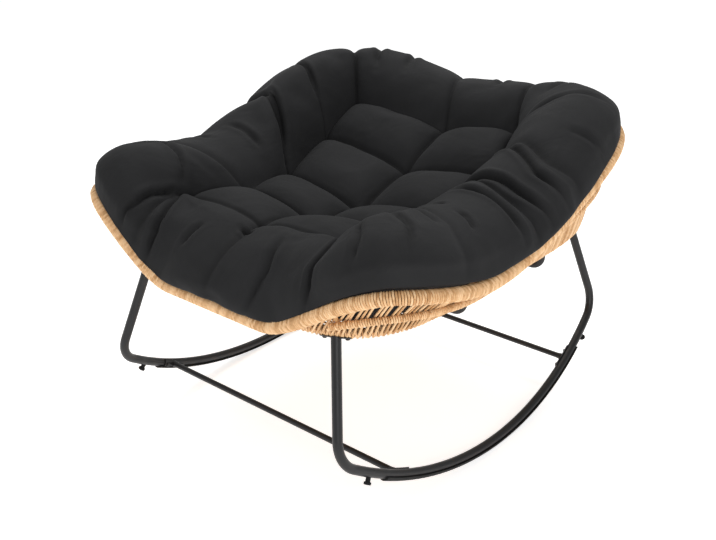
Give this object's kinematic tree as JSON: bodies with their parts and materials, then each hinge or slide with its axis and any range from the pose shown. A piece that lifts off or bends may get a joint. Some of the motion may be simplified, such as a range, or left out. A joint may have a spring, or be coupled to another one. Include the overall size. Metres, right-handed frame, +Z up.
{
  "type": "rattan rocking chair",
  "caption": "Low rocking chair: a deep tufted cushion in a rattan-wound basket with a waved rim, on a black bent-tube rocker base.",
  "frame": {"origin": "on the floor below the middle of the seat, at the rockers' lowest line", "axes": "+Z up, -Y the way the chair faces; left and right are as seen from the front, with right at +X"},
  "size_m": [0.978, 1, 0.7524],
  "materials": {
    "frame_black": "satin",
    "bolt_black": "satin",
    "insert_steel": "satin",
    "rattan": "satin",
    "cushion_cloth": "matte",
    "black_rubber": "matte"
  },
  "bodies": {
    "chair": {"back_weave": "rattan", "base_ring_tube": "frame_black", "base_ring_wrap": "rattan", "basket_ribs": "frame_black", "floor_weave": "rattan", "front_left_leg_saddle": "frame_black", "front_left_stop_peg": "black_rubber", "front_left_stretcher_saddle": "frame_black", "front_right_leg_saddle": "frame_black", "front_right_stop_peg": "black_rubber", "front_right_stretcher_saddle": "frame_black", "front_stretcher": "frame_black", "front_support_bar": "frame_black", "front_weave": "rattan", "left_rocker_strip": "black_rubber", "left_side_frame": "frame_black", "left_side_weave": "rattan", "leg_bolt_inserts": "insert_steel", "leg_bolts": "bolt_black", "mid_bar": "frame_black", "mid_bar_wrap": "rattan", "rear_left_leg_saddle": "frame_black", "rear_left_stop_peg": "black_rubber", "rear_left_stretcher_saddle": "frame_black", "rear_right_leg_saddle": "frame_black", "rear_right_stop_peg": "black_rubber", "rear_right_stretcher_saddle": "frame_black", "rear_stretcher": "frame_black", "rear_support_bar": "frame_black", "right_rocker_strip": "black_rubber", "right_side_frame": "frame_black", "right_side_weave": "rattan", "rim_tube": "frame_black", "rim_wrap": "rattan", "stretcher_bolts": "bolt_black", "stretcher_inserts": "insert_steel"},
    "cushion": {"seat_cushion": "cushion_cloth"}
  },
  "joints": [
    {"name": "cushion_lift", "type": "slide", "parent": "chair", "child": "cushion", "axis": [0, 0, 1], "range_m": [0, 0.45]}
  ]
}
